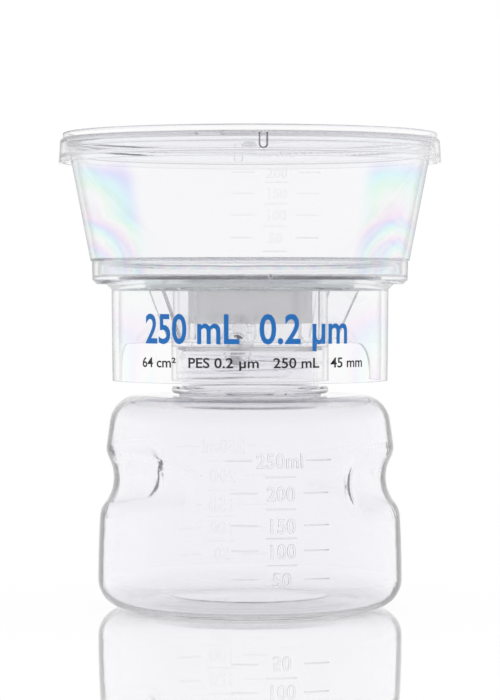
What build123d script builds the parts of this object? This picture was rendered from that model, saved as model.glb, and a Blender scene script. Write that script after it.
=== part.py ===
# Vacuum filtration unit, 250 mL: a filter head screwed on its receiver bottle, under a push-on lid.
# Millimetres. The bottle's base is centred on the origin, +Z is up, and the scales face -Y.
from build123d import *
from math import asin, atan2, cos, degrees, hypot, radians
import os

# How the pieces meet
seat_gap = 0.05  # between faces that rest on each other
slip_gap = 0.15  # around a piece that drops into another
press_gap = 0.02  # around a piece that is pushed home

# Receiver bottle: body
bottle_wall = 1.3
foot_radius = 45.9  # widest, just above the heel
heel_round = 8.5
bulge_radius = 318.0  # how gently the body draws in towards its shoulder
shoulder_round = 9.0
shoulder_height = 64.05
rest_ring_width = 4.5  # flat ring that the bottle stands on
push_up = 1.8  # how far the middle of the base is raised
push_up_width = 9.0  # of the sloping ring around the raised middle

# Receiver bottle: the two grips, each the mark of a bent round bar
bottle_turn = 2.1  # degrees that the bottle's scale stands past the head's
grip_drop = 24.85  # from the shoulder's height to the middle of the grip
grip_depth = 5.1  # of the deepest point, in from the widest
grip_bar_radius = 12.5
grip_span = 118.0  # degrees round the bottle
grip_offset = 2.5  # from the bottle's axis to the centre of the bar's arc, so the grip grows shallower
grip_turn = -40.0  # degrees that its deepest point stands from its middle, so one end is the steep one
grip_end_round = 8.0
grip_edge_round = 7.0

# Receiver bottle: neck
neck_radius = 20.6
neck_wall = 1.6
neck_height = 10.95  # from the support ring to the lip
neck_root_chamfer = 1.4
lip_chamfer = 0.35
ring_overhang = 3.1  # of the support ring, out from the neck
ring_thickness = 2.1
ring_gap = 0.5  # between shoulder and support ring
ring_root = 0.9  # how far the shoulder's spigot stands out from the neck
ring_chamfer = 0.6

# Neck seal
seal_thickness = 1.0
seal_inner_setback = 0.2  # out from the neck's bore
seal_outer_overlap = 1.2  # out past the neck's wall

# Filter base: collar, drain chamber and skirt
collar_gap = 1.7  # around the neck, for the threads
collar_wall = 1.4
collar_depth = 10.35  # from the seal's seat down to the collar's mouth
seat_thickness = 1.35
seat_width = 4.8
chamber_height = 15.5
drip_gap = 3.5  # between the drip skirt and the chamber's wall
drip_wall = 1.2
drip_height = 9.9
outlet_radius = 5.0
skirt_gap = 16.1  # clear space round the collar, for the gussets and the hose connector
skirt_draft = 0.3  # smaller at its foot
skirt_wall = 2.0
skirt_root_chamfer = 1.6  # between the skirt and the dish's foot
window_height = 10.8  # opening in the back of the skirt, from its lower edge
window_span = 159.0  # degrees
window_round = 9.5

# Filter base: floor and dish
floor_thickness = 1.8
dish_floor_thickness = 2.5
dish_step = 5.7  # how far the dish's foot stands out past the skirt
dish_draft = 0.2  # wider at its rim
dish_wall = 1.4
dish_depth = 4.4
dish_corner_chamfer = 1.3

# Filter base: gussets under the floor
gusset_angles = (38.0, 142.0, 218.0, 322.0)
gusset_thickness = 1.4
gusset_inset = 3.5  # in from the skirt's inner wall, under the floor
gusset_foot_width = 5.6  # out from the collar, at the gusset's foot
gusset_height = 14.5

# Vacuum port and its hose connector, along one axis that slopes down through the window
port_clearance = 0.3  # between its bore and the chamber's floor
window_clearance = 0.5  # between the barbs and the window's upper edge
port_setback = 6.7  # of its mouth, in from the skirt's inner wall
port_radius = 5.5
port_bore_radius = 2.5
socket_radius = 3.7
socket_depth = 6.0
stop_radius = 5.2
stop_thickness = 1.6
barb_radius = 4.3
barb_root_radius = 3.4
barb_length = 5.0
barb_count = 3
lumen_radius = 2.1
plug_length = 9.0

# Support plate and membrane
slot_width = 1.6
slot_count = 12
slot_inner_radius = 9.0
slot_middle_radius = 22.0
support_rim = 2.8
membrane_thickness = 0.2
membrane_margin = 1.0  # between the membrane's edge and the dish's wall

# Funnel
funnel_wall = 1.3
funnel_step = 0.4  # how far its foot stands out past the dish's rim
funnel_flare = 6.85  # wider at its top
funnel_height = 35.4  # above the dish's rim
clamp_width = 1.7  # of the ring that holds the membrane down
clamp_step = 0.8
rim_bead = 0.65
rim_bead_height = 1.5

# Lid
lid_plate = 1.3
lid_gap = 0.4  # between the plate's corner and the funnel's rim bead
lid_draft = 0.45  # wider at the foot of its skirt
lid_wall = 1.2
lid_skirt_depth = 5.9  # below the underside of the plate
lid_round = 0.9
stack_ring_inset = 0.8  # in from the lid's edge
stack_ring_width = 1.4
stack_ring_height = 1.9
stack_ring_round = 0.6
snap_height = 1.9  # of the snap bead above the skirt's lower edge
snap_radius = 0.4
gate_radius = 2.7
gate_depth = 1.3
notch_width = 2.5
notch_length = 5.0
notch_depth = 0.35
lid_turn = -4.5  # degrees that the lid's notches stand from the head's scale

# Heights that follow
ring_top = shoulder_height + ring_gap + ring_thickness
lip = ring_top + neck_height
seal_seat = lip + seal_thickness + 2 * seat_gap
collar_mouth = seal_seat - collar_depth
chamber_floor = seal_seat + seat_thickness
floor_underside = chamber_floor + chamber_height
dish_underside = floor_underside + floor_thickness
dish_floor = dish_underside + dish_floor_thickness
dish_rim = dish_floor + dish_depth
membrane_top = dish_floor + seat_gap + membrane_thickness
funnel_foot = dish_rim + seat_gap
funnel_top = funnel_foot + funnel_height
lid_underside = funnel_top + seat_gap
lid_top = lid_underside + lid_plate

# Radii that follow
chamber_radius = neck_radius + collar_gap
collar_radius = chamber_radius + collar_wall
skirt_top_radius = collar_radius + skirt_gap + skirt_wall
skirt_foot_radius = skirt_top_radius - skirt_draft
recess_radius = skirt_top_radius - skirt_wall
dish_foot_radius = skirt_top_radius + dish_step
dish_radius = dish_foot_radius + dish_draft
dish_bore = dish_foot_radius - dish_wall
funnel_foot_radius = dish_radius + funnel_step
funnel_top_radius = funnel_foot_radius + funnel_flare
lid_shoulder_radius = funnel_top_radius + rim_bead + lid_gap + lid_wall
lid_skirt_radius = lid_shoulder_radius + lid_draft

# The port's bore just clears the chamber's floor, and its barbs just clear the window's upper edge
port_run = skirt_foot_radius - skirt_wall - chamber_radius
port_fall = chamber_floor + port_clearance - collar_mouth - window_height
port_reach = port_bore_radius + barb_radius + window_clearance
port_tilt = degrees(atan2(port_fall, port_run) + asin(port_reach / hypot(port_fall, port_run)))
port_height = chamber_floor + port_clearance + port_bore_radius / cos(radians(port_tilt))
port_length = port_run / cos(radians(port_tilt)) - port_setback
port_axis = Axis((0, chamber_radius, port_height), Vector(0, 1, 0).rotate(Axis.X, -port_tilt))
port_plane = Plane(origin=port_axis.position, x_dir=port_axis.direction, z_dir=(1, 0, 0))


def arm(angle, centre=(0, 0, 0)):
    """Upright plane through the centre, with its x axis turned this far from +X."""
    turned = Vector(1, 0, 0).rotate(Axis.Z, angle)
    return Plane(origin=centre, x_dir=turned, z_dir=turned.rotate(Axis.Z, -90))


def grip_bar(inset):
    """Bent round bar with rounded ends, whose mark in the bottle is the grip on the +X side."""
    bar_arc = foot_radius - grip_depth + grip_bar_radius + grip_offset
    span = grip_span + 2 * degrees(inset / bar_arc)
    bend = Axis(Vector(-grip_offset, 0, 0).rotate(Axis.Z, grip_turn), (0, 0, 1))
    with BuildPart() as bar:
        with BuildSketch(arm(-span / 2, bend.position)):
            with Locations((bar_arc, shoulder_height - grip_drop)):
                Circle(grip_bar_radius + inset)
        revolve(axis=bend, revolution_arc=span)
        ends = bar.faces().filter_by(GeomType.PLANE)
        fillet(ends.edges(), grip_end_round + inset)
    return bar.part


def body_form(inset):
    """The bottle's body without its neck, drawn in all round by the inset."""
    bulge = bulge_radius - inset
    heel = heel_round - inset
    shoulder = shoulder_round - inset
    top = shoulder_height - inset
    turn_start = (top - shoulder - shoulder * heel_round / bulge) / (1 - shoulder / bulge)
    lean = degrees(asin((turn_start - heel_round) / bulge))
    ring_outer = foot_radius - heel_round
    ring_inner = ring_outer - rest_ring_width
    with BuildPart() as plain:
        with BuildSketch(arm(90)):
            with BuildLine():
                rest = Line((ring_inner, inset), (ring_outer, inset))
                heel_arc = JernArc(rest @ 1, (1, 0), heel, 90)
                side = JernArc(heel_arc @ 1, (0, 1), bulge, lean)
                turn = JernArc(side @ 1, side % 1, shoulder, 90 - lean)
                raised = push_up + inset
                Polyline(turn @ 1, (0, top), (0, raised), (ring_inner - push_up_width, raised), rest @ 0)
            make_face()
        revolve()
    with BuildPart() as form:
        add(plain)
        with PolarLocations(0, 2, bottle_turn):
            add(grip_bar(inset), mode=Mode.SUBTRACT)
        skin = plain.part.shell()
        rims = form.edges(Select.LAST).filter_by(lambda edge: skin.distance_to(edge @ 0.5) < 0.01)
        fillet(rims, grip_edge_round + inset)
    return form.part


def make_bottle():
    """Receiver bottle: one blown piece with a heel, two grips, a support ring and a neck."""
    with BuildPart() as bottle:
        add(body_form(0))
        with BuildSketch(arm(90)) as neck:
            with BuildLine():
                Polyline(
                    (0, shoulder_height - bottle_wall),
                    (neck_radius + ring_root, shoulder_height - bottle_wall),
                    (neck_radius + ring_root, ring_top - ring_thickness),
                    (neck_radius + ring_overhang, ring_top - ring_thickness),
                    (neck_radius + ring_overhang, ring_top),
                    (neck_radius, ring_top),
                    (neck_radius, lip),
                    (0, lip),
                    close=True,
                )
            make_face()
            chamfer(neck.vertices().group_by(Axis.X)[-1], ring_chamfer)
            chamfer(neck.vertices().group_by(Axis.Y)[-1].sort_by(Axis.X)[-1], lip_chamfer)
        revolve()
        add(body_form(bottle_wall), mode=Mode.SUBTRACT)
        with BuildSketch(arm(90)) as bore:
            with BuildLine():
                inner = neck_radius - neck_wall
                ceiling = shoulder_height - bottle_wall
                Polyline(
                    (0, ceiling),
                    (inner + neck_root_chamfer, ceiling),
                    (inner, ceiling + neck_root_chamfer),
                    (inner, lip),
                    (0, lip),
                    close=True,
                )
            make_face()
        revolve(mode=Mode.SUBTRACT)
    bottle.part.label = "bottle"
    export_step(bottle.part, "parts/bottle.step")


def make_neck_seal():
    """Flat ring between the bottle's lip and the base's seat."""
    with BuildPart() as neck_seal:
        with BuildSketch(Plane.XY.offset(lip + seat_gap)):
            Circle(neck_radius + seal_outer_overlap)
            Circle(neck_radius - neck_wall + seal_inner_setback, mode=Mode.SUBTRACT)
        extrude(amount=seal_thickness)
    neck_seal.part.label = "neck_seal"
    export_step(neck_seal.part, "parts/neck_seal.step")


def make_filter_base():
    """Filter base: dish, floor, skirt with its window, collar, drip skirt, gussets and port."""
    with BuildPart() as filter_base:
        with BuildSketch(arm(90)) as shell:
            with BuildLine():
                Polyline(
                    (outlet_radius, floor_underside),
                    (outlet_radius, dish_underside),
                    (recess_radius, dish_underside),
                    (recess_radius, dish_floor),
                    (dish_bore, dish_floor),
                    (dish_bore, dish_rim),
                    (dish_radius, dish_rim),
                    (dish_foot_radius, dish_underside),
                    (skirt_top_radius, dish_underside),
                    (skirt_foot_radius, collar_mouth),
                    (skirt_foot_radius - skirt_wall, collar_mouth),
                    (skirt_top_radius - skirt_wall, floor_underside),
                    close=True,
                )
            make_face()
            step = shell.vertices().filter_by(lambda v: abs(v.Y - dish_underside) < 0.01).sort_by(Axis.X)
            chamfer(step[-1], dish_corner_chamfer)
            chamfer(step[-2], skirt_root_chamfer)
        revolve()
        with BuildSketch(arm(90)):
            with BuildLine():
                Polyline(
                    (chamber_radius, collar_mouth),
                    (collar_radius, collar_mouth),
                    (collar_radius, floor_underside + floor_thickness / 2),
                    (chamber_radius, floor_underside + floor_thickness / 2),
                    (chamber_radius, chamber_floor),
                    (chamber_radius - seat_width, chamber_floor),
                    (chamber_radius - seat_width, seal_seat),
                    (chamber_radius, seal_seat),
                    close=True,
                )
            make_face()
            with Locations((chamber_radius - drip_gap, floor_underside + floor_thickness / 2)):
                Rectangle(drip_wall, drip_height + floor_thickness / 2, align=Align.MAX)
        revolve()
        for angle in gusset_angles:
            with BuildSketch(arm(angle)):
                with BuildLine():
                    Polyline(
                        (chamber_radius + collar_wall / 2, floor_underside + floor_thickness / 2),
                        (recess_radius - gusset_inset, floor_underside + floor_thickness / 2),
                        (recess_radius - gusset_inset, floor_underside),
                        (collar_radius + gusset_foot_width, floor_underside - gusset_height),
                        (chamber_radius + collar_wall / 2, floor_underside - gusset_height),
                        close=True,
                    )
                make_face()
            extrude(amount=gusset_thickness / 2, both=True)
        add(skirt_window(), mode=Mode.SUBTRACT)
        add(port_boss())
        with BuildSketch(port_plane):
            with Locations((-collar_wall, 0)):
                Rectangle(port_length, port_bore_radius, align=Align.MIN)
            with Locations((port_length, 0)):
                Rectangle(socket_depth, socket_radius, align=(Align.MAX, Align.MIN))
        revolve(axis=port_axis, mode=Mode.SUBTRACT)
    filter_base.part.label = "filter_base"
    export_step(filter_base.part, "parts/filter_base.step")


def port_boss():
    """Solid tube that stands out of the chamber's wall, before it is bored."""
    with BuildPart() as boss:
        with BuildSketch(port_plane):
            Rectangle(port_length, port_radius, align=Align.MIN)
        revolve(axis=port_axis)
        with BuildSketch(Plane.XY.offset(collar_mouth)):
            Circle(chamber_radius + collar_wall / 2)
        extrude(amount=dish_rim - collar_mouth, mode=Mode.SUBTRACT)
    return boss.part


def skirt_window():
    """Cutter for the opening in the back of the skirt, with its upper corners rounded."""
    with BuildPart() as window:
        with BuildSketch(arm(90 - window_span / 2)):
            with Locations((skirt_foot_radius, collar_mouth + window_height)):
                Rectangle(3 * skirt_wall, 2 * window_height, align=(Align.CENTER, Align.MAX))
        revolve(revolution_arc=window_span)
        corners = window.edges().filter_by(GeomType.LINE).filter_by(Axis.Z, reverse=True)
        fillet(corners.group_by(Axis.Z)[-1], window_round)
    return window.part


def make_support_plate():
    """Slotted plate that lies in the base's recess and carries the membrane."""
    radius = recess_radius - slip_gap
    slot_outer_radius = radius - support_rim
    with BuildPart() as support_plate:
        with BuildSketch(Plane.XY.offset(dish_underside + seat_gap)):
            Circle(radius)
            with PolarLocations((slot_inner_radius + slot_outer_radius) / 2, slot_count):
                SlotOverall(slot_outer_radius - slot_inner_radius, slot_width, mode=Mode.SUBTRACT)
            for share in (1, 2, 3):
                turn = share * 90 / slot_count
                with PolarLocations((slot_middle_radius + slot_outer_radius) / 2, slot_count, turn):
                    SlotOverall(slot_outer_radius - slot_middle_radius, slot_width, mode=Mode.SUBTRACT)
        extrude(amount=dish_floor_thickness - 2 * seat_gap)
    support_plate.part.label = "support_plate"
    export_step(support_plate.part, "parts/support_plate.step")


def make_membrane():
    """Filter membrane, a plain disc held down at its edge."""
    with BuildPart() as membrane:
        with BuildSketch(Plane.XY.offset(dish_floor + seat_gap)):
            Circle(dish_bore - membrane_margin)
        extrude(amount=membrane_thickness)
    membrane.part.label = "membrane"
    export_step(membrane.part, "parts/membrane.step")


def make_funnel():
    """Funnel: conical wall, beaded rim, and a clamping ring that drops into the base's dish."""
    clamp_radius = dish_bore - slip_gap
    foot = membrane_top + seat_gap
    bore = funnel_foot_radius - funnel_wall
    with BuildPart() as funnel:
        with BuildSketch(arm(90)) as wall:
            with BuildLine():
                Polyline(
                    (clamp_radius - clamp_width, foot),
                    (clamp_radius, foot),
                    (clamp_radius, funnel_foot),
                    (funnel_foot_radius, funnel_foot),
                    (funnel_top_radius, funnel_top),
                    (funnel_top_radius - funnel_wall, funnel_top),
                    (bore, funnel_foot + clamp_step),
                    (clamp_radius - clamp_width, funnel_foot - clamp_step),
                    close=True,
                )
            make_face()
            with Locations((funnel_top_radius - funnel_wall / 2, funnel_top)):
                Rectangle(funnel_wall / 2 + rim_bead, rim_bead_height, align=(Align.MIN, Align.MAX))
            fillet(wall.vertices().group_by(Axis.X)[-1], rim_bead_height / 3)
        revolve()
    funnel.part.label = "funnel"
    export_step(funnel.part, "parts/funnel.step")


def make_lid():
    """Push-on lid: plate, skirt with a snap bead, stacking ring, gate dome and two notches."""
    skirt_foot = lid_underside - lid_skirt_depth
    bead_height = skirt_foot + snap_height
    bead_share = snap_height / (lid_skirt_depth + lid_plate)
    bead_radius = lid_skirt_radius - lid_wall - bead_share * (lid_skirt_radius - lid_shoulder_radius)
    with BuildPart() as lid:
        with BuildSketch(arm(90)) as shell:
            with BuildLine():
                Polyline(
                    (0, lid_underside),
                    (lid_shoulder_radius - lid_wall, lid_underside),
                    (lid_skirt_radius - lid_wall, skirt_foot),
                    (lid_skirt_radius, skirt_foot),
                    (lid_shoulder_radius, lid_top),
                    (0, lid_top),
                    close=True,
                )
            make_face()
            fillet(shell.vertices().filter_by(lambda v: v.Y > lid_top - 0.01 and v.X > 1), lid_round)
            with Locations((bead_radius, bead_height)):
                Circle(snap_radius)
            with Locations((lid_shoulder_radius - stack_ring_inset, lid_underside + lid_plate / 2)):
                ring_height = stack_ring_height + lid_plate / 2
                Rectangle(stack_ring_width, ring_height, align=(Align.MAX, Align.MIN))
            fillet(shell.vertices().group_by(Axis.Y)[-1], stack_ring_round)
            with BuildLine():
                gate_foot = (0, lid_underside - gate_depth)
                dome = TangentArc(gate_foot, (gate_radius, lid_underside), tangent=(1, 0))
                inside = lid_underside + lid_plate / 2
                Polyline(dome @ 1, (gate_radius, inside), (0, inside), gate_foot)
            make_face()
        revolve()
        for angle in (lid_turn - 90, lid_turn + 90):
            outward = Vector(1, 0, 0).rotate(Axis.Z, angle)
            notch_floor = Plane(
                origin=outward * (lid_shoulder_radius - notch_depth),
                x_dir=outward.rotate(Axis.Z, 90),
                z_dir=outward,
            )
            with BuildSketch(notch_floor):
                with Locations((0, lid_top)):
                    SlotOverall(2 * notch_length, notch_width, rotation=90)
            extrude(amount=lid_wall, mode=Mode.SUBTRACT)
    lid.part.label = "lid"
    export_step(lid.part, "parts/lid.step")


def make_hose_connector():
    """Barbed hose connector, pushed into the port's socket as far as its stop."""
    with BuildPart() as hose_connector:
        with BuildSketch(port_plane):
            with BuildLine():
                tip = port_length + stop_thickness + barb_count * barb_length
                Polyline(
                    (port_length - socket_depth + seat_gap, lumen_radius),
                    (port_length - socket_depth + seat_gap, socket_radius - press_gap),
                    (port_length + seat_gap, socket_radius - press_gap),
                    (port_length + seat_gap, stop_radius),
                    (port_length + stop_thickness, stop_radius),
                    *barb_outline(port_length + stop_thickness),
                    (tip, lumen_radius),
                    close=True,
                )
            make_face()
        revolve(axis=port_axis)
    hose_connector.part.label = "hose_connector"
    export_step(hose_connector.part, "parts/hose_connector.step")


def barb_outline(start):
    """Points along the saw-toothed outside of the connector, from its stop to its tip."""
    points = []
    for barb in range(barb_count):
        root = start + barb * barb_length
        points += [(root, barb_root_radius), (root + barb_length / 3, barb_root_radius)]
        points += [(root + barb_length / 3, barb_radius)]
    return points + [(start + barb_count * barb_length, barb_root_radius)]


def make_port_plug():
    """Fibre plug in the connector's bore, which keeps the air that passes it clean."""
    with BuildPart() as port_plug:
        with BuildSketch(port_plane):
            with Locations((port_length - socket_depth + seat_gap, 0)):
                Rectangle(plug_length, lumen_radius - press_gap, align=Align.MIN)
        revolve(axis=port_axis)
    port_plug.part.label = "port_plug"
    export_step(port_plug.part, "parts/port_plug.step")


def main():
    os.makedirs("parts", exist_ok=True)
    make_bottle()
    make_neck_seal()
    make_filter_base()
    make_support_plate()
    make_membrane()
    make_funnel()
    make_lid()
    make_hose_connector()
    make_port_plug()


if __name__ == "__main__":
    main()
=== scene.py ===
"""Looks of a 250 mL vacuum filtration unit: clear moulded pieces, screw threads, raised scales and print."""

import logging
import math
from collections.abc import Iterator
from contextlib import contextmanager
from dataclasses import dataclass, field, replace
from enum import Enum

import bpy
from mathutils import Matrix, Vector
from mathutils.bvhtree import BVHTree


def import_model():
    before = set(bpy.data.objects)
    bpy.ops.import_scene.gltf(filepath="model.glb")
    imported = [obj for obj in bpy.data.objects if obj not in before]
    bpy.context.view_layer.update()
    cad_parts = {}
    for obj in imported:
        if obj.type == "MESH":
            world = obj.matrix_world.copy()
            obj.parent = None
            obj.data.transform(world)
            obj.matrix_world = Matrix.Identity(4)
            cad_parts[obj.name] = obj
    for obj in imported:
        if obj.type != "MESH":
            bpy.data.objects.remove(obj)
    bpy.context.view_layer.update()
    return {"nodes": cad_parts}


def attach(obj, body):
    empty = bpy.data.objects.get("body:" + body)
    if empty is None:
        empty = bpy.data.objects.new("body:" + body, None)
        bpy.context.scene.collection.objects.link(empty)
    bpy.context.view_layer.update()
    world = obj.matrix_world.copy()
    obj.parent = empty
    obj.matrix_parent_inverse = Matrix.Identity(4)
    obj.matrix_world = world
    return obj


log = logging.getLogger("vacuum_filter")
MM = 0.001
VIEW_TURN = 8.3  # degrees from the camera's side of the unit to its scale
CAP_SHARE = 0.729  # height of a capital letter in the font, for a text size of 1
STRIP = 1.5 * MM  # width of the strips that a flat piece is cut into before it is bent
BOUNCES = 120  # enough for light that runs along inside a clear wall
CLEAR_BOUNCES = 16
BEVEL_SAMPLES = 6
DOUBLES = 0.002 * MM  # corners closer together than this are one corner
SMOOTH_ANGLE = 35.0  # degrees

Colour = tuple[float, float, float]
Nodes = dict[str, bpy.types.Object]
Socket = bpy.types.NodeSocket


class Body(Enum):
    """The bodies that the new pieces ride on."""

    BOTTLE = "bottle"
    HEAD = "filter_head"
    LID = "lid"


class Slot(Enum):
    """The record's material slots."""

    CLEAR = "clear_plastic"


class Tree:
    """Node tree, with short ways to add and join its nodes."""

    def __init__(self, tree: bpy.types.NodeTree) -> None:
        """Keep the tree.

        Args:
            tree: The node tree.
        """
        self.tree = tree

    def add(self, kind: str, **settings: object) -> bpy.types.Node:
        """Add a node.

        Args:
            kind: Its type, without the leading ShaderNode.
            **settings: Attributes to set on it.

        Returns:
            The node.
        """
        node = self.tree.nodes.new("ShaderNode" + kind)
        for name, value in settings.items():
            setattr(node, name, value)
        return node

    def join(self, start: Socket, end: Socket) -> None:
        """Link an output to an input."""
        self.tree.links.new(start, end)

    def sums(self, operation: str, first: object, second: object, clamp: bool = False) -> Socket:
        """Add a Math node.

        Args:
            operation: Its operation.
            first: A socket or a number.
            second: A socket or a number.
            clamp: Whether the result stays between 0 and 1.

        Returns:
            The result.
        """
        node = self.add("Math", operation=operation, use_clamp=clamp)
        for socket, value in zip(node.inputs, (first, second)):
            if isinstance(value, Socket):
                self.join(value, socket)
            else:
                socket.default_value = value
        return node.outputs[0]

    def eased(self, value: Socket, start: float, end: float, low: float = 0.0, high: float = 1.0) -> Socket:
        """Map a value to another range, with eased ends.

        Args:
            value: The value.
            start: Where the change starts.
            end: Where the change ends.
            low: The result at the start.
            high: The result at the end.

        Returns:
            The mapped value.
        """
        node = self.add("MapRange", interpolation_type="SMOOTHSTEP")
        for name, number in (("From Min", start), ("From Max", end), ("To Min", low), ("To Max", high)):
            node.inputs[name].default_value = number
        self.join(value, node.inputs["Value"])
        return node.outputs[0]

    def blended(self, share: Socket, first: Socket, second: Socket) -> Socket:
        """Mix two shaders.

        Args:
            share: Share of the second one.
            first: A shader.
            second: A shader.

        Returns:
            The mixed shader.
        """
        node = self.add("MixShader")
        for socket, source in zip(node.inputs, (share, first, second)):
            self.join(source, socket)
        return node.outputs[0]


class Sheet(Tree):
    """Nodes of a new material."""

    def __init__(self, name: str) -> None:
        """Start a material that holds a Principled shader.

        Args:
            name: The material's name.
        """
        self.material = bpy.data.materials.new(name)
        self.material.use_nodes = True
        super().__init__(self.material.node_tree)
        self.shader = self.tree.nodes["Principled BSDF"]
        self.output = self.tree.nodes["Material Output"]

    def place(self) -> Socket:
        """Return the object coordinates, in metres."""
        return self.add("TexCoord").outputs["Object"]

    def parts(self) -> bpy.types.Node:
        """Split the object coordinates.

        Returns:
            The node that splits them.
        """
        split = self.add("SeparateXYZ")
        self.join(self.place(), split.inputs[0])
        return split

    def reach(self) -> Socket:
        """Work out the distance from the unit's axis.

        Returns:
            The square of the distance.
        """
        split = self.parts()
        across = self.sums("MULTIPLY", split.outputs["X"], split.outputs["X"])
        along = self.sums("MULTIPLY", split.outputs["Y"], split.outputs["Y"])
        return self.sums("ADD", across, along)

    def noise(self, size: float, detail: float = 2.0) -> Socket:
        """Add noise on the object coordinates.

        Args:
            size: Size of its lumps, in metres.
            detail: Its detail.

        Returns:
            The noise, about 0.5.
        """
        node = self.add("TexNoise")
        node.inputs["Scale"].default_value = 1 / size
        node.inputs["Detail"].default_value = detail
        self.join(self.place(), node.inputs["Vector"])
        return node.outputs["Fac"]

    def ramp(self, factor: Socket, stops: list[tuple[float, Colour]]) -> Socket:
        """Turn a factor into a colour.

        Args:
            factor: The factor.
            stops: Positions with their colours.

        Returns:
            The colour.
        """
        node = self.add("ValToRGB")
        elements = node.color_ramp.elements
        while len(elements) < len(stops):
            elements.new(0.5)
        for element, (position, colour) in zip(elements, stops):
            element.position = position
            element.color = (*colour, 1.0)
        self.join(factor, node.inputs[0])
        return node.outputs["Color"]

    def multiplied(self, share: Socket, first: object, second: object) -> Socket:
        """Multiply two colours.

        Args:
            share: How much the second colour counts.
            first: A socket or a colour.
            second: A socket or a colour.

        Returns:
            The product.
        """
        node = self.add("MixRGB", blend_type="MULTIPLY")
        self.join(share, node.inputs[0])
        for socket, value in zip(node.inputs[1:], (first, second)):
            if isinstance(value, Socket):
                self.join(value, socket)
            else:
                socket.default_value = (*value, 1.0)
        return node.outputs[0]

    def relief(self, height: Socket, depth: float, round_edge: float = 0.0) -> None:
        """Give the shader a bump, over edges that look rounded.

        Args:
            height: The bump's height, from 0 to 1.
            depth: The bump's depth, in metres.
            round_edge: Radius that sharp edges seem to have, in metres.
        """
        bump = self.add("Bump")
        bump.inputs["Distance"].default_value = depth
        self.join(height, bump.inputs["Height"])
        if round_edge:
            bevel = self.add("Bevel", samples=BEVEL_SAMPLES)
            bevel.inputs["Radius"].default_value = round_edge
            self.join(bevel.outputs[0], bump.inputs["Normal"])
        self.join(bump.outputs[0], self.shader.inputs["Normal"])

    def grained(
        self,
        grain: Socket,
        span: tuple[float, float],
        colours: tuple[Colour, Colour],
        roughness: float,
        depth: float,
    ) -> None:
        """Colour and roughen the shader by a grain.

        Args:
            grain: The grain, from 0 to 1.
            span: Where in the grain the colours stand.
            colours: The two colours.
            roughness: The surface's roughness.
            depth: The grain's depth, in metres.
        """
        self.join(self.ramp(grain, list(zip(span, colours))), self.shader.inputs["Base Color"])
        self.shader.inputs["Roughness"].default_value = roughness
        self.relief(grain, depth)


@dataclass(frozen=True)
class GreyRoughZone:
    """A zone inside a radius and above a height that is made greyer and rougher."""

    radius: float
    height: float
    tint: float
    roughness: float


@dataclass(frozen=True)
class StressSheen:
    """Pastel bands of moulding stress on the flanks, one below the other, painted into the base colour as an
    iridescent sheen. In metres, or bands per metre.

    The bands are closer together below the knee, and sweep down from the left edge and from the right peak.
    """

    share: float
    top: float
    rate: float
    start: float
    left_edge: float
    left_lean: float
    right_peak: float
    right_lean: float
    level: float
    knee: float = 0.0
    extra_rate: float = 0.0
    beyond: float = 0.0
    clear: float = 0.0
    fade: float = 3.0 * MM
    flank_start: float = 0.24
    flank_end: float = 0.33
    wander: float = 0.5
    wander_size: float = 20.0 * MM
    turn: float = VIEW_TURN
    pastels: tuple[tuple[float, Colour], ...] = (
        (0.0, (1.0, 0.8, 0.95)),
        (0.16, (0.74, 0.74, 1.0)),
        (0.36, (0.72, 0.98, 1.0)),
        (0.52, (0.8, 1.0, 0.86)),
        (0.68, (1.0, 1.0, 0.98)),
        (0.84, (0.92, 0.92, 0.92)),
        (1.0, (1.0, 0.8, 0.95)),
    )


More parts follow.
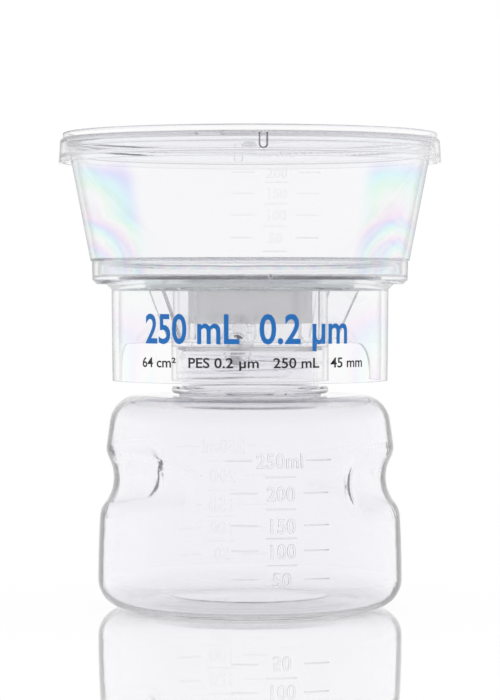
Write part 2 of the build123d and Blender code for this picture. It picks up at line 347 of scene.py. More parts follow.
@dataclass(frozen=True)
class ClearPlastic:
    """Polished clear polystyrene: grey where it is seen edge on, partly from its own absorption and partly
    from painted shade, with faint colours of moulding stress painted in as an iridescent sheen.
    """

    name: str
    tint: Colour = (0.985, 0.985, 0.992)
    # painted shade: the dark colour mixed in where upright walls turn away from the eye, set by the fields
    # below
    painted_rim_shade: Colour = (0.16, 0.16, 0.2)
    painted_shade_start: float = 0.2
    painted_shade_end: float = 0.226
    painted_shade_share: float = 0.5
    painted_shade_inside: bool = True
    painted_shade_top: float = 1.0
    ior: float = 1.59
    density: float = 30.0
    murk: Colour = (0.55, 0.55, 0.60)
    ripple_size: float = 20.0 * MM
    ripple_depth: float = 0.04 * MM
    round_edge: float = 0.35 * MM
    # painted iridescent sheen, in bands set by moulding stress
    stress: StressSheen | None = None
    grey_rough_zone: GreyRoughZone | None = None

    def material(self) -> bpy.types.Material:
        """Make the finish.

        Returns:
            The node material.
        """
        sheet = Sheet(self.name)
        shader = sheet.shader
        weight = sheet.add("LayerWeight")
        weight.inputs["Blend"].default_value = 0.5
        facing = weight.outputs["Facing"]
        shader.inputs["Base Color"].default_value = (*self.tint, 1.0)
        shader.inputs["Roughness"].default_value = 0.0
        colour = self.tint
        # painted iridescent sheen: pastel bands multiplied into the base colour on the flanks, where walls
        # turn away from the eye
        if self.stress:
            colour = sheet.multiplied(self.stress_sheen_share(sheet, facing), colour, self.stress_sheen_bands(sheet))
            sheet.join(colour, shader.inputs["Base Color"])
        # the zone inside a radius and above a height is made greyer and rougher
        if self.grey_rough_zone:
            inside = self.grey_rough_zone_share(sheet)
            colour = sheet.multiplied(inside, colour, (self.grey_rough_zone.tint,) * 3)
            sheet.join(colour, shader.inputs["Base Color"])
            sheet.join(sheet.sums("MULTIPLY", inside, self.grey_rough_zone.roughness), shader.inputs["Roughness"])
        shader.inputs["Transmission Weight"].default_value = 1.0
        shader.inputs["IOR"].default_value = self.ior
        sheet.relief(sheet.noise(self.ripple_size), self.ripple_depth, self.round_edge)
        # painted shade at the silhouettes of upright walls
        if self.painted_shade_share:
            self.paint_rim_shade(sheet, facing)
        if self.density:
            murk = sheet.add("VolumeAbsorption")
            murk.inputs["Color"].default_value = (*self.murk, 1.0)
            murk.inputs["Density"].default_value = self.density
            sheet.join(murk.outputs["Volume"], sheet.output.inputs["Volume"])
        return sheet.material

    def paint_rim_shade(self, sheet: Sheet, facing: Socket) -> None:
        """Paint shade on upright walls where they turn away from the eye, by mixing in a dark diffuse.

        Args:
            sheet: The material's nodes.
            facing: How far the surface is turned away, from 0 to 1.
        """
        turned = sheet.eased(facing, self.painted_shade_start, self.painted_shade_end, high=self.painted_shade_share)
        surface = sheet.add("NewGeometry")
        normal = sheet.add("SeparateXYZ")
        sheet.join(surface.outputs["Normal"], normal.inputs[0])
        level = sheet.sums("MULTIPLY", normal.outputs["Z"], normal.outputs["Z"])
        upright = sheet.sums("SUBTRACT", 1.0, level, clamp=True)
        side = surface.outputs["Backfacing"]
        if not self.painted_shade_inside:
            side = sheet.sums("SUBTRACT", 1.0, side)
        low = sheet.sums("LESS_THAN", sheet.parts().outputs["Z"], self.painted_shade_top)
        upright = sheet.sums("MULTIPLY", upright, sheet.sums("MULTIPLY", side, low))
        # dark diffuse of the painted shade
        painted_rim_shade = sheet.add("BsdfDiffuse")
        painted_rim_shade.inputs["Color"].default_value = (*self.painted_rim_shade, 1.0)
        share = sheet.sums("MULTIPLY", turned, upright)
        surface = sheet.blended(share, sheet.shader.outputs[0], painted_rim_shade.outputs[0])
        sheet.join(surface, sheet.output.inputs["Surface"])

    def stress_sheen_share(self, sheet: Sheet, facing: Socket) -> Socket:
        """Work out how strongly the painted stress sheen shows: outside, below the top edge, where walls
        turn away.

        Args:
            sheet: The material's nodes.
            facing: How far the surface is turned away, from 0 to 1.

        Returns:
            The share, from 0 to 1.
        """
        stress = self.stress
        flank = sheet.eased(facing, stress.flank_start, stress.flank_end, high=stress.share)
        outside = sheet.sums("SUBTRACT", 1.0, sheet.add("NewGeometry").outputs["Backfacing"])
        far = sheet.sums("GREATER_THAN", sheet.reach(), stress.beyond**2)
        edge = stress.top - stress.clear
        below = sheet.eased(sheet.parts().outputs["Z"], edge, edge - stress.fade)
        where = sheet.sums("MULTIPLY", sheet.sums("MULTIPLY", outside, far), below)
        return sheet.sums("MULTIPLY", flank, where)

    def stress_sheen_bands(self, sheet: Sheet) -> Socket:
        """Colour the painted sheen bands that sweep down the left flank and away from a peak on the right
        one.

        Args:
            sheet: The material's nodes.

        Returns:
            The bands' colour.
        """
        stress = self.stress
        turned = sheet.add("VectorRotate", rotation_type="Z_AXIS")
        turned.inputs["Angle"].default_value = math.radians(stress.turn)
        sheet.join(sheet.place(), turned.inputs["Vector"])
        split = sheet.add("SeparateXYZ")
        sheet.join(turned.outputs[0], split.inputs[0])
        across = split.outputs["X"]
        down = sheet.sums("SUBTRACT", stress.top, split.outputs["Z"])
        below = sheet.sums("MAXIMUM", sheet.sums("SUBTRACT", down, stress.knee), 0.0)
        climb = sheet.sums("ADD", sheet.sums("MULTIPLY", down, stress.rate), stress.start)
        phase = sheet.sums("ADD", climb, sheet.sums("MULTIPLY", below, stress.extra_rate))
        left = sheet.sums("MULTIPLY", sheet.sums("SUBTRACT", across, stress.left_edge), stress.left_lean)
        away = sheet.sums("ABSOLUTE", sheet.sums("SUBTRACT", across, stress.right_peak), 0.0)
        lean = sheet.sums("MINIMUM", left, sheet.sums("MULTIPLY", away, stress.right_lean))
        level = sheet.sums("DIVIDE", down, stress.level)
        lean = sheet.sums("MULTIPLY", lean, sheet.sums("MULTIPLY", level, level))
        wander = sheet.sums("MULTIPLY", sheet.noise(stress.wander_size, 1.0), stress.wander)
        phase = sheet.sums("ADD", sheet.sums("SUBTRACT", phase, lean), wander)
        return sheet.ramp(sheet.sums("FRACT", phase, 0.0), list(stress.pastels))

    def grey_rough_zone_share(self, sheet: Sheet) -> Socket:
        """Find the zone that is made greyer and rougher.

        Args:
            sheet: The material's nodes.

        Returns:
            1 in the zone and 0 elsewhere.
        """
        near = sheet.sums("LESS_THAN", sheet.reach(), self.grey_rough_zone.radius**2)
        high = sheet.sums("GREATER_THAN", sheet.parts().outputs["Z"], self.grey_rough_zone.height)
        return sheet.sums("MULTIPLY", near, high)


@dataclass(frozen=True)
class CloudyPlastic:
    """Matt plastic that lets light through but no picture."""

    name: str
    colour: Colour
    transmission: float
    roughness: float
    ior: float
    shade: float = 0.94
    grain_size: float = 0.8 * MM
    grain_span: tuple[float, float] = (0.3, 0.7)
    grain_depth: float = 0.01 * MM

    def material(self) -> bpy.types.Material:
        """Make the finish.

        Returns:
            The node material.
        """
        sheet = Sheet(self.name)
        dark = tuple(self.shade * part for part in self.colour)
        grain = sheet.noise(self.grain_size)
        sheet.grained(grain, self.grain_span, (dark, self.colour), self.roughness, self.grain_depth)
        sheet.shader.inputs["Transmission Weight"].default_value = self.transmission
        sheet.shader.inputs["IOR"].default_value = self.ior
        return sheet.material


@dataclass(frozen=True)
class Fibre:
    """Felted white fibre."""

    name: str
    colour: Colour
    shade: float = 0.7
    strand: float = 0.3 * MM
    detail: float = 6.0
    span: tuple[float, float] = (0.35, 0.65)
    depth: float = 0.12 * MM
    roughness: float = 0.9
    transmission: float = 0.7

    def material(self) -> bpy.types.Material:
        """Make the finish.

        Returns:
            The node material.
        """
        sheet = Sheet(self.name)
        dark = tuple(self.shade * part for part in self.colour)
        strands = sheet.noise(self.strand, self.detail)
        sheet.grained(strands, self.span, (dark, self.colour), self.roughness, self.depth)
        sheet.shader.inputs["Transmission Weight"].default_value = self.transmission
        return sheet.material


@dataclass(frozen=True)
class Ink:
    """Screen-printed ink, slightly uneven."""

    name: str
    colour: Colour
    mesh: float = 0.4 * MM
    detail: float = 3.0
    span: tuple[float, float] = (0.35, 0.7)
    depth: float = 0.004 * MM
    roughness: float = 0.45
    gain: float = 1.12
    lift: float = 0.004

    def material(self) -> bpy.types.Material:
        """Make the finish.

        Returns:
            The node material.
        """
        sheet = Sheet(self.name)
        pale = tuple(min(1.0, part * self.gain + self.lift) for part in self.colour)
        mesh = sheet.noise(self.mesh, self.detail)
        sheet.grained(mesh, self.span, (self.colour, pale), self.roughness, self.depth)
        return sheet.material


class Wall:
    """Outside of a CAD node, found by looking in towards the unit's axis."""

    far = 0.2

    def __init__(self, node: bpy.types.Object) -> None:
        """Keep the node's surface.

        Args:
            node: The CAD node.
        """
        self.tree = BVHTree.FromObject(node, bpy.context.evaluated_depsgraph_get())

    def at(self, angle: float, height: float, lift: float) -> Vector:
        """Find the point at this angle and height that stands off the wall.

        Args:
            angle: Radians from the front, towards the right.
            height: Above the base, in metres.
            lift: Distance outwards from the wall, in metres.

        Returns:
            The point.
        """
        out = Vector((math.sin(angle), -math.cos(angle), 0.0))
        start = out * self.far + Vector((0, 0, height))
        hit = self.tree.ray_cast(start, -out)[0]
        return hit + out * lift

    def wrap(self, piece: bpy.types.Object, angle: float, gap: float) -> None:
        """Wrap a piece that was modelled flat, facing the front, round the wall.

        Args:
            piece: The piece. Its x runs round the wall and its y into it.
            angle: Radians from the front to the piece's middle.
            gap: Between the piece's back and the wall, in metres.
        """
        corners = [vertex.co.copy() for vertex in piece.data.vertices]
        back = max(corner.y for corner in corners)
        middle = (min(corner.z for corner in corners) + max(corner.z for corner in corners)) / 2
        radius = self.at(angle, middle, 0.0).xy.length
        for vertex, corner in zip(piece.data.vertices, corners):
            vertex.co = self.at(angle + corner.x / radius, corner.z, gap + back - corner.y)


@contextmanager
def editing(piece: bpy.types.Object) -> Iterator[None]:
    """Open a piece in edit mode with everything selected.

    Args:
        piece: The piece.
    """
    choose(piece)
    bpy.ops.object.mode_set(mode="EDIT")
    bpy.ops.mesh.select_mode(type="VERT")
    bpy.ops.mesh.select_all(action="SELECT")
    yield
    bpy.ops.object.mode_set(mode="OBJECT")


def choose(*pieces: bpy.types.Object) -> None:
    """Select these pieces only and make the first one active.

    Args:
        *pieces: The pieces.
    """
    bpy.ops.object.select_all(action="DESELECT")
    for piece in pieces:
        piece.select_set(True)
    bpy.context.view_layer.objects.active = pieces[0]


def settle(piece: bpy.types.Object) -> None:
    """Move a piece's place, turn and size into its mesh."""
    choose(piece)
    bpy.ops.object.transform_apply(location=True, rotation=True, scale=True)


def modify(piece: bpy.types.Object, kind: str, **settings: object) -> None:
    """Add a modifier and apply it.

    Args:
        piece: The piece.
        kind: The modifier's type.
        **settings: Attributes to set on it.
    """
    choose(piece)
    modifier = piece.modifiers.new(kind.lower(), kind)
    for name, value in settings.items():
        setattr(modifier, name, value)
    bpy.ops.object.modifier_apply(modifier=modifier.name)


def joined(name: str, pieces: list[bpy.types.Object]) -> bpy.types.Object:
    """Join pieces into one.

    Args:
        name: The new piece's name.
        pieces: Two or more pieces.

    Returns:
        The joined piece.
    """
    choose(*pieces)
    bpy.ops.object.join()
    pieces[0].name = name
    return pieces[0]


def slice_across(piece: bpy.types.Object) -> None:
    """Cut a flat piece into upright strips, so that it can be bent round a wall.

    Args:
        piece: The piece.
    """
    low = min(vertex.co.x for vertex in piece.data.vertices)
    high = max(vertex.co.x for vertex in piece.data.vertices)
    with editing(piece):
        for cut in range(1, math.ceil((high - low) / STRIP)):
            bpy.ops.mesh.select_all(action="SELECT")
            bpy.ops.mesh.bisect(plane_co=(low + cut * STRIP, 0, 0), plane_no=(1, 0, 0))


def close_ends(sides: int) -> None:
    """Fill the open ends of the piece that is in edit mode.

    Args:
        sides: How many sides an end has.
    """
    bpy.ops.mesh.select_all(action="DESELECT")
    bpy.ops.mesh.select_non_manifold()
    bpy.ops.mesh.fill_holes(sides=sides)


def clean(piece: bpy.types.Object, angle: float = SMOOTH_ANGLE) -> None:
    """Merge doubles, turn faces outwards and smooth the piece.

    Args:
        piece: The piece.
        angle: Edges that bend by fewer degrees are smoothed.
    """
    with editing(piece):
        bpy.ops.mesh.remove_doubles(threshold=DOUBLES)
        bpy.ops.mesh.normals_make_consistent(inside=False)
    bpy.ops.object.shade_smooth_by_angle(angle=math.radians(angle))


def dress(piece: bpy.types.Object, body: Body, finish: bpy.types.Material) -> None:
    """Give a finished piece its material, in its one material slot, and its body.

    Args:
        piece: The piece.
        body: What it rides on.
        finish: Its material.
    """
    piece.data.materials.clear()
    piece.data.materials.append(finish)
    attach(piece, body.value)
    log.info("%s: %d faces on %s", piece.name, len(piece.data.polygons), body.value)


@dataclass(frozen=True)
class Lettering:
    """Size and weight of raised or printed figures. Lengths are in metres."""

    height: float
    depth: float
    edge: float = 0.0
    weight: float = 0.0
    width: float = 1.0
    spacing: float = 1.0

    def write(self, words: str) -> bpy.types.Object:
        """Model words as a flat closed piece centred on the origin and facing the front.

        Args:
            words: What to write.

        Returns:
            The piece, in the XZ plane.
        """
        bpy.ops.object.text_add(rotation=(math.pi / 2, 0, 0))
        piece = bpy.context.object
        text = piece.data
        text.body = words
        text.size = self.height / CAP_SHARE
        text.align_x = "CENTER"
        text.space_character = self.spacing
        text.extrude = self.depth / 2 - self.edge
        text.bevel_depth = self.edge
        text.bevel_resolution = 1
        text.offset = self.weight - self.edge
        text.resolution_u = 4
        choose(piece)
        bpy.ops.object.convert(target="MESH")
        piece = bpy.context.object
        piece.scale = (self.width, 1.0, 1.0)
        piece.location.z = -self.height / 2
        settle(piece)
        clean(piece)
        return piece

    def bar(self, length: float, thickness: float) -> bpy.types.Object:
        """Model one line of a scale, centred on the origin and facing the front.

        Args:
            length: Of the line.
            thickness: Of the line.

        Returns:
            The piece, in the XZ plane.
        """
        bpy.ops.mesh.primitive_cube_add(size=1.0, scale=(length, self.depth, thickness))
        piece = bpy.context.object
        settle(piece)
        modify(piece, "BEVEL", width=self.edge, segments=2)
        return piece


@dataclass
class Scale:
    """Raised scale: a figure between two long lines for each volume, with short lines between. In metres."""

    name: str
    heights: dict[str, float]
    short_heights: tuple[float, ...]
    lettering: Lettering
    line_start: float
    line_length: float
    short_length: float
    line_thickness: float
    clearance: float = 1.2 * MM
    gap: float = 0.03 * MM

    def build(self, wall: Wall, angle: float) -> bpy.types.Object:
        """Model the scale on a wall.

        Args:
            wall: The wall.
            angle: Radians from the front to the scale's middle.

        Returns:
            The scale, as one piece.
        """
        flat = []
        for words, height in self.heights.items():
            figure = self.lettering.write(words)
            extra = max(0.0, (figure.dimensions.x / 2 - self.line_start) + self.clearance)
            flat.append((figure, 0.0, height))
            for side in (-1, 1):
                line = self.lettering.bar(self.line_length, self.line_thickness)
                middle = self.line_start + extra + self.line_length / 2
                flat.append((line, side * middle, height))
        for height in self.short_heights:
            flat.append((self.lettering.bar(self.short_length, self.line_thickness), 0.0, height))
        for piece, across, height in flat:
            piece.location = (across, 0, height)
            settle(piece)
            slice_across(piece)
            wall.wrap(piece, angle, self.gap)
        scale = joined(self.name, [piece for piece, _, _ in flat])
        clean(scale)
        return scale


@dataclass
class Thread:
    """Screw thread on a round wall, with ends that run out. In metres and degrees."""

    name: str
    root: float
    crest: float
    root_width: float
    crest_width: float
    pitch: float
    top: float
    top_angle: float
    turns: float
    run_out: float = 25.0
    tip: float = 5.0
    least_depth: float = 0.03
    least_width: float = 0.08
    steps_per_turn: int = 120
    smooth_angle: float = 50.0

    def build(self) -> bpy.types.Object:
        """Model the thread as one closed piece.

        Returns:
            The thread.
        """
        steps = round(self.turns * self.steps_per_turn)
        bpy.ops.mesh.primitive_plane_add(size=1.0, rotation=(math.pi / 2, 0, 0))
        piece = bpy.context.object
        piece.scale = (self.crest - self.root, self.root_width, 1.0)
        piece.location = ((self.crest + self.root) / 2, 0, self.top - self.pitch * self.turns)
        settle(piece)
        crest_side = [abs(vertex.co.x - self.crest) < DOUBLES for vertex in piece.data.vertices]
        with editing(piece):
            bpy.ops.mesh.delete(type="ONLY_FACE")
            bpy.ops.mesh.select_all(action="DESELECT")
            bpy.ops.object.mode_set(mode="OBJECT")
            for vertex, outer in zip(piece.data.vertices, crest_side):
                vertex.select = outer
            bpy.ops.object.mode_set(mode="EDIT")
            bpy.ops.transform.resize(value=(1, 1, self.crest_width / self.root_width))
        modify(
            piece,
            "SCREW",
            angle=2 * math.pi * self.turns,
            screw_offset=self.pitch * self.turns,
            steps=steps,
            render_steps=steps,
            use_normal_calculate=True,
        )
        self.taper(piece, steps)
        with editing(piece):
            close_ends(4)
        piece.rotation_euler.z = math.radians(self.top_angle - 90.0) - 2 * math.pi * self.turns
        settle(piece)
        piece.name = self.name
        clean(piece, self.smooth_angle)
        return piece

    def taper(self, piece: bpy.types.Object, steps: int) -> None:
        """Let the thread run out at both ends.

        Args:
            piece: The thread, still starting at angle 0.
            steps: How many steps it has.
        """
        reach = self.run_out / 360.0 * self.steps_per_turn
        tip = self.tip / 360.0 * self.steps_per_turn
        rise = self.pitch / self.steps_per_turn
        bottom = self.top - self.pitch * self.turns
        for vertex in piece.data.vertices:
            radius = vertex.co.xy.length
            around = math.atan2(vertex.co.y, vertex.co.x) % (2 * math.pi)
            turn = around / (2 * math.pi) * self.steps_per_turn
            level = (vertex.co.z - bottom) / rise
            step = turn + self.steps_per_turn * round((level - turn) / self.steps_per_turn)
            inwards = max(0.0, min(step, steps - step))
            share = min(1.0, self.least_depth + math.sin(min(1.0, inwards / reach) * math.pi / 2))
            vertex.co.xy *= (self.root + (radius - self.root) * share) / radius
            middle = bottom + rise * step
            narrowed = max(self.least_width, math.sqrt(1.0 - (1.0 - min(1.0, inwards / tip)) ** 2))
            vertex.co.z = middle + (vertex.co.z - middle) * narrowed


@dataclass
class Studio:
    """Pale polished floor, soft light and the camera. In metres and degrees."""

    turn: float = VIEW_TURN
    distance: float = 0.946
    eye: float = 0.0968
    pitch: float = 1.17
    lens: float = 161.0
    floor_size: float = 8.0
    floor_gap: float = 0.1 * MM
    fill: float = 0.85
    glow: float = 0.62
    floor_tint: float = 0.48
    floor_ior: float = 1.6
    polish: float = 1.5
    ceiling: Colour = (0.5, 0.5, 0.53)
    ceiling_start: float = 0.16
    ceiling_end: float = 0.62
    front: float = 0.75
    front_start: float = -0.7
    front_end: float = 0.5

    def camera(self) -> None:
        """Put the camera in front of the unit, a little to the left of its scale."""
        azimuth = math.radians(self.turn)
        place = (-self.distance * math.sin(azimuth), -self.distance * math.cos(azimuth), self.eye)
        bpy.ops.object.camera_add(location=place, rotation=(math.radians(90 - self.pitch), 0.0, -azimuth))
        bpy.context.object.data.lens = self.lens
        bpy.context.scene.camera = bpy.context.object

    def world(self) -> None:
        """Light the unit evenly, with white behind it and a dim ceiling for it to reflect."""
        world = bpy.data.worlds.new("studio")
        bpy.context.scene.world = world
        world.use_nodes = True
        world.node_tree.nodes.clear()
        tree = Tree(world.node_tree)
        split = tree.add("SeparateXYZ")
        tree.join(tree.add("TexCoord").outputs["Generated"], split.inputs[0])
        ramp = tree.add("ValToRGB")
        low, high = ramp.color_ramp.elements
        low.position, low.color = self.ceiling_start, (1, 1, 1, 1)
        high.position, high.color = self.ceiling_end, (*self.ceiling, 1)
        tree.join(split.outputs["Z"], ramp.inputs[0])
        bent = tree.add("Background")
        tree.join(ramp.outputs["Color"], bent.inputs["Color"])
        front = tree.eased(split.outputs["Y"], self.front_start, self.front_end, self.front)
        tree.join(front, bent.inputs["Strength"])
        fill, seen = tree.add("Background"), tree.add("Background")
        for background, strength in ((fill, self.fill), (seen, 1.0)):
            background.inputs["Color"].default_value = (1, 1, 1, 1)
            background.inputs["Strength"].default_value = strength
        path = tree.add("LightPath")
        either = tree.sums("MAXIMUM", path.outputs["Is Glossy Ray"], path.outputs["Is Transmission Ray"])
        lit = tree.blended(either, fill.outputs[0], bent.outputs[0])
        whole = tree.blended(path.outputs["Is Camera Ray"], lit, seen.outputs[0])
        tree.join(whole, tree.add("OutputWorld").inputs[0])

    def floor(self) -> None:
        """Lay the polished white floor."""
        bpy.ops.mesh.primitive_plane_add(size=self.floor_size, location=(0, 0, -self.floor_gap))
        floor = bpy.context.object
        floor.name = "floor"
        sheet = Sheet("floor")
        sheet.tree.nodes.remove(sheet.shader)
        matt = sheet.add("BsdfDiffuse")
        matt.inputs["Color"].default_value = (*(self.floor_tint,) * 3, 1)
        glow = sheet.add("Emission")
        path = sheet.add("LightPath")
        bent = sheet.sums("MAXIMUM", path.outputs["Is Glossy Ray"], path.outputs["Is Transmission Ray"])
        seen = sheet.sums("MAXIMUM", path.outputs["Is Camera Ray"], bent)
        sheet.join(sheet.sums("MULTIPLY", seen, self.glow), glow.inputs["Strength"])
        base = sheet.add("AddShader")
        sheet.join(matt.outputs[0], base.inputs[0])
        sheet.join(glow.outputs[0], base.inputs[1])
        gloss = sheet.add("BsdfGlossy")
        gloss.inputs["Color"].default_value = (1, 1, 1, 1)
        gloss.inputs["Roughness"].default_value = 0.0
        fresnel = sheet.add("Fresnel")
        fresnel.inputs["IOR"].default_value = self.floor_ior
        shine = sheet.sums("MULTIPLY", fresnel.outputs[0], self.polish, clamp=True)
        sheet.join(sheet.blended(shine, base.outputs[0], gloss.outputs[0]), sheet.output.inputs[0])
        floor.data.materials.append(sheet.material)


@dataclass
class Bottle:
    """Receiver bottle: its neck's thread and a raised scale at the front and the back."""

    turn: float = 3.2
    thread: Thread = field(
        default_factory=lambda: Thread(
            name="bottle_thread",
            root=20.63 * MM,
            crest=21.9 * MM,
            root_width=1.8 * MM,
            crest_width=0.8 * MM,
            pitch=4.0 * MM,
            top=75.75 * MM,
            top_angle=-80.0,
            turns=1.3,
        )
    )
    scale: Scale = field(
        default_factory=lambda: Scale(
            name="bottle_scale",
            heights={
                "250ml": 46.4 * MM,
                "200": 37.0 * MM,
                "150": 27.7 * MM,
                "100": 20.4 * MM,
                "50": 12.1 * MM,
            },
            short_heights=(41.6 * MM, 32.4 * MM, 24.0 * MM, 16.2 * MM),
            lettering=Lettering(
                4.3 * MM, 0.5 * MM, edge=0.2 * MM, weight=0.1 * MM, width=0.92, spacing=1.05
            ),
            line_start=6.8 * MM,
            line_length=7.8 * MM,
            short_length=9.0 * MM,
            line_thickness=0.42 * MM,
        )
    )

    def build(self, nodes: Nodes, raised: dict[str, bpy.types.Material], clear: bpy.types.Material) -> None:
        """Add the thread and the two scales.

        Args:
            nodes: The CAD nodes.
            raised: Finishes of the raised figures at the front and the back.
            clear: Finish of the thread.
        """
        wall = Wall(nodes["bottle"])
        dress(self.thread.build(), Body.BOTTLE, clear)
        for side, angle in (("front", self.turn), ("back", self.turn + 180.0)):
            self.scale.name = f"bottle_{side}_scale"
            dress(self.scale.build(wall, math.radians(angle)), Body.BOTTLE, raised[side])


@dataclass(frozen=True)
class Print:
    """One printed line. Lengths are in metres, and the turn is in degrees from the front."""

    name: str
    words: str
    height: float
    width: float
    turn: float
    lettering: Lettering
    ink: Ink
    gap: float = 0.02 * MM

    def build(self, wall: Wall) -> bpy.types.Object:
        """Model the line on a wall.

        Args:
            wall: The wall.

        Returns:
            The printed line.
        """
        piece = self.lettering.write(self.words)
        piece.name = self.name
        piece.scale.x = self.width / piece.dimensions.x
        piece.location.z = self.height
        settle(piece)
        slice_across(piece)
        wall.wrap(piece, math.radians(self.turn), self.gap)
        clean(piece)
        return piece


@dataclass
class FilterHead:
    """Filter base and funnel: collar thread, print, funnel scale, pads and gate stub."""

    thread: Thread = field(
        default_factory=lambda: Thread(
            name="collar_thread",
            root=22.27 * MM,
            crest=21.2 * MM,
            root_width=2.2 * MM,
            crest_width=1.2 * MM,
            pitch=4.0 * MM,
            top=71.1 * MM,
            top_angle=24.7,
            turns=0.62,
        )
    )
    scale: Scale = field(
        default_factory=lambda: Scale(
            name="funnel_scale",
            heights={
                "250ml": 135.2 * MM,
                "200": 129.3 * MM,
                "150": 123.3 * MM,
                "100": 117.1 * MM,
                "50": 110.6 * MM,
            },
            short_heights=(132.2 * MM, 126.5 * MM, 120.3 * MM, 113.9 * MM, 106.7 * MM),
            lettering=Lettering(
                3.0 * MM, 0.4 * MM, edge=0.14 * MM, weight=0.06 * MM, width=0.95, spacing=1.05
            ),
            line_start=6.2 * MM,
            line_length=6.7 * MM,
            short_length=6.7 * MM,
            line_thickness=0.35 * MM,
        )
    )
    prints: tuple[Print, ...] = (
        Print(
            "print_size",
            "250 mL  0.2 µm",
            height=84.6 * MM,
            width=65.5 * MM,
            turn=-10.2,
            lettering=Lettering(8.8 * MM, 0.02 * MM, weight=0.22 * MM),
            ink=Ink("blue_ink", (0.004, 0.22, 0.72)),
        ),
        Print(
            "print_detail",
            "64 cm²   PES 0.2 µm   250 mL   45 mm",
            height=74.6 * MM,
            width=73.7 * MM,
            turn=-6.7,
            lettering=Lettering(3.0 * MM, 0.02 * MM, weight=0.06 * MM),
            ink=Ink("black_ink", (0.006, 0.006, 0.008)),
        ),
    )
    pad_radius: float = 1.3 * MM
    pad_depth: float = 0.35 * MM
    pad_round: float = 0.12 * MM
    pad_gap: float = 0.02 * MM
    pad_height: float = 80.7 * MM
    pad_angles: tuple[float, float] = (-30.0, 30.0)
    collar_radius: float = 23.7 * MM
    gate_radius: float = 0.7 * MM
    gate_lift: float = 0.42 * MM
    gate_height: float = 99.5 * MM
    gate_turn: float = -1.2
    gate_form: tuple[float, float, float] = (1.0, 0.5, 1.2)
    gate_smooth_angle: float = 60.0

    def build(
        self,
        nodes: Nodes,
        raised: bpy.types.Material,
        clear: bpy.types.Material,
        pad: bpy.types.Material,
    ) -> None:
        """Add the head's moulded and printed details.

        Args:
            nodes: The CAD nodes.
            raised: Finish of the raised figures.
            clear: Finish of the thread.
            pad: Finish of the collar's pads and the gate stub.
        """
        base, funnel = Wall(nodes["filter_base"]), Wall(nodes["funnel"])
        dress(self.thread.build(), Body.HEAD, clear)
        dress(self.scale.build(funnel, 0.0), Body.HEAD, raised)
        dress(self.pads(), Body.HEAD, pad)
        dress(self.gate_mark(base), Body.HEAD, pad)
        for line in self.prints:
            dress(line.build(base), Body.HEAD, line.ink.material())

    def pads(self) -> bpy.types.Object:
        """Model the two round pads on the front of the collar.

        Returns:
            The pads, as one piece.
        """
        pieces = []
        for angle in self.pad_angles:
            turn = math.radians(angle)
            reach = self.collar_radius + self.pad_depth / 2 + self.pad_gap
            bpy.ops.mesh.primitive_cylinder_add(
                vertices=48,
                radius=self.pad_radius,
                depth=self.pad_depth,
                location=(reach * math.sin(turn), -reach * math.cos(turn), self.pad_height),
                rotation=(math.pi / 2, 0, turn),
            )
            piece = bpy.context.object
            settle(piece)
            modify(piece, "BEVEL", width=self.pad_round, segments=3)
            pieces.append(piece)
        pads = joined("collar_pads", pieces)
        clean(pads)
        return pads

    def gate_mark(self, wall: Wall) -> bpy.types.Object:
        """Model the stub that the mould's gate leaves on the front of the dish.

        Args:
            wall: Outside of the filter base.

        Returns:
            The stub.
        """
        bpy.ops.mesh.primitive_uv_sphere_add(segments=24, ring_count=12, radius=self.gate_radius)
        piece = bpy.context.object
        piece.name = "dish_gate_mark"
        piece.location = wall.at(math.radians(self.gate_turn), self.gate_height, self.gate_lift)
        piece.rotation_euler.z = math.radians(self.gate_turn)
        piece.scale = self.gate_form
        settle(piece)
        clean(piece, self.gate_smooth_angle)
        return piece


@dataclass
class Lid:
    """Lid: a dark bead of painted shade that stands for the look of the notch's rounded edge. In metres and
    degrees.
    """

    turn: float = -4.5
    bead_radius: float = 0.22 * MM
    bead_depth: float = 0.4 * MM
    bead_corners: int = 12
    half_width: float = 1.08 * MM
    top: float = 140.6 * MM
    foot: float = 137.2 * MM
    gap: float = 0.03 * MM
    side_steps: int = 8
    foot_steps: int = 16
    smooth_angle: float = 60.0

    def build(self, nodes: Nodes, finish: bpy.types.Material) -> None:
        """Add the bead of painted shade along the notch's edge.

        Args:
            nodes: The CAD nodes.
            finish: Finish of the painted shade bead.
        """
        piece = self.notch_shade_bead()
        Wall(nodes["lid"]).wrap(piece, math.radians(self.turn), self.gap)
        clean(piece, self.smooth_angle)
        dress(piece, Body.LID, finish)

    def notch_shade_bead(self) -> bpy.types.Object:
        """Model a bead of painted shade along the two sides and the round foot of the notch.

        Returns:
            The bead, facing the front.
        """
        corner = (-self.half_width, 0, self.top)
        bpy.ops.mesh.primitive_circle_add(
            vertices=self.bead_corners, radius=self.bead_radius, location=corner
        )
        piece = bpy.context.object
        piece.name = "lid_notch_painted_shade"
        piece.scale.y = self.bead_depth / 2 / self.bead_radius
        settle(piece)
        with editing(piece):
            self.pull(self.foot - self.top)
            middle = (0, 0, self.foot)
            bpy.ops.mesh.spin(steps=self.foot_steps, angle=math.pi, center=middle, axis=(0, 1, 0))
            self.pull(self.top - self.foot)
            close_ends(self.bead_corners)
        return piece

    def pull(self, height: float) -> None:
        """Extrude the selected ring upwards, or downwards where the height is negative.

        Args:
            height: How far, in metres.
        """
        for _ in range(self.side_steps):
            step = (0, 0, height / self.side_steps)
            bpy.ops.mesh.extrude_region_move(TRANSFORM_OT_translate={"value": step})


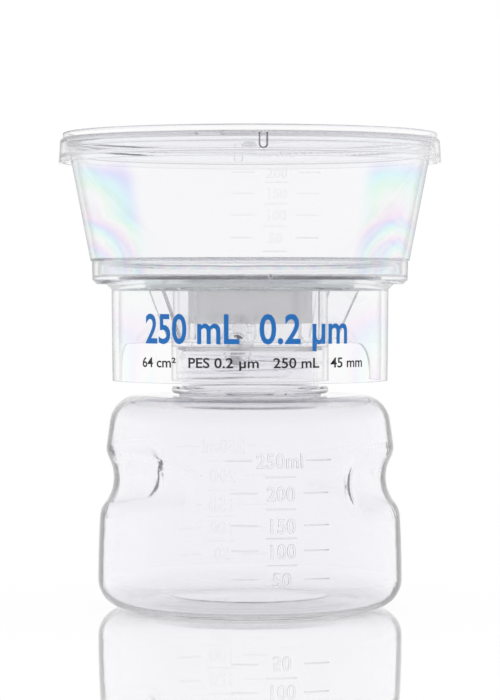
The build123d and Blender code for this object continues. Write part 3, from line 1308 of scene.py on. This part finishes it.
def dress_nodes(nodes: Nodes) -> None:
    """Give each CAD node its finish.

    Args:
        nodes: The CAD nodes.
    """
    # clear moulded finish, with painted shade where the outsides of upright walls turn away from the eye
    moulded = ClearPlastic("moulded_plastic", density=6.0, painted_shade_inside=False, painted_shade_start=0.7, painted_shade_end=1.0)
    base_stress_sheen = StressSheen(
        share=0.45,
        top=100.0 * MM,
        rate=60.0,
        start=0.1,
        left_edge=-42.0 * MM,
        left_lean=60.0,
        right_peak=38.0 * MM,
        right_lean=60.0,
        level=20.0 * MM,
        beyond=38.0 * MM,
    )
    funnel_stress_sheen = StressSheen(
        share=1.0,
        top=140.0 * MM,
        rate=59.0,
        start=-0.48,
        left_edge=-49.8 * MM,
        left_lean=79.0,
        right_peak=43.9 * MM,
        right_lean=90.0,
        level=26.0 * MM,
        knee=22.9 * MM,
        extra_rate=100.0,
        clear=6.0 * MM,
    )
    # the rim settings paint shade where upright walls turn away from the eye; the stress settings paint an
    # iridescent sheen
    finishes = {
        "bottle": ClearPlastic(
            "bottle_plastic",
            tint=(0.967, 0.963, 0.98),
            density=15.0,
            painted_shade_start=0.214,
            painted_shade_share=0.85,
            painted_shade_top=63.0 * MM,
        ),
        "filter_base": replace(
            moulded,
            name="base_plastic",
            stress=base_stress_sheen,
            grey_rough_zone=GreyRoughZone(radius=19.0 * MM, height=85.0 * MM, tint=0.84, roughness=0.15),
        ),
        "funnel": replace(moulded, name="funnel_plastic", stress=funnel_stress_sheen),
        "lid": replace(moulded, name="lid_plastic", density=7.0, painted_shade_share=0.3),
        "hose_connector": ClearPlastic(
            "connector_plastic", density=0.0, painted_shade_share=0.0, ior=1.06, round_edge=0.0
        ),
        "support_plate": CloudyPlastic(
            "plate_plastic", (0.97, 0.965, 0.98), transmission=0.95, roughness=0.3, ior=1.06
        ),
        "neck_seal": CloudyPlastic(
            "silicone", (0.96, 0.96, 0.97), transmission=0.9, roughness=0.25, ior=1.2
        ),
        "membrane": CloudyPlastic(
            "membrane_film", (0.985, 0.985, 0.99), transmission=0.95, roughness=0.25, ior=1.06
        ),
        "port_plug": Fibre("fibre", (0.95, 0.95, 0.94)),
    }
    for name, node in nodes.items():
        node.data.materials.clear()
        node.data.materials.append(finishes[name].material())
        log.info("%s: %s", name, finishes[name].name)


def main() -> None:
    """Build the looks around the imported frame."""
    logging.basicConfig(level=logging.INFO)
    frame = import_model()
    nodes = frame["nodes"]
    bpy.ops.object.select_all(action="DESELECT")
    studio = Studio()
    studio.camera()
    studio.world()
    studio.floor()
    dress_nodes(nodes)
    # raised figures, with painted shade where their sides turn away from the eye
    figure = ClearPlastic(
        "raised_plastic",
        tint=(1.0, 1.0, 1.0),
        painted_shade_start=0.05,
        painted_shade_end=0.4,
        painted_shade_share=0.6,
        painted_shade_inside=False,
        ior=1.35,
        density=0.0,
        round_edge=0.0,
    )
    raised = figure.material()
    faint = replace(figure, name="far_scale_plastic", painted_shade_share=0.2, ior=1.12).material()
    thread = ClearPlastic(
        "thread_plastic", density=0.0, painted_shade_share=0.0, ior=1.08, round_edge=0.3 * MM
    ).material()
    pad = ClearPlastic(
        "pad_plastic", tint=(0.88, 0.88, 0.91), density=0.0, painted_shade_share=0.0, ior=1.5, round_edge=0.0
    ).material()
    # painted shade: the dark bead along the lid's notch edge
    dark = ClearPlastic(
        "notch_painted_shade",
        tint=(0.5, 0.5, 0.54),
        painted_rim_shade=(0.02, 0.02, 0.025),
        painted_shade_start=0.02,
        painted_shade_end=0.2,
        painted_shade_share=1.0,
        painted_shade_inside=False,
        density=0.0,
        round_edge=0.0,
    ).material()
    Bottle().build(nodes, {"front": raised, "back": faint}, thread)
    FilterHead().build(nodes, faint, thread, pad)
    Lid().build(nodes, dark)
    scene = bpy.context.scene
    scene.view_settings.view_transform = "Standard"
    scene.cycles.max_bounces = BOUNCES
    scene.cycles.transmission_bounces = BOUNCES
    scene.cycles.glossy_bounces = BOUNCES
    scene.cycles.transparent_max_bounces = CLEAR_BOUNCES


if __name__ == "__main__":
    main()
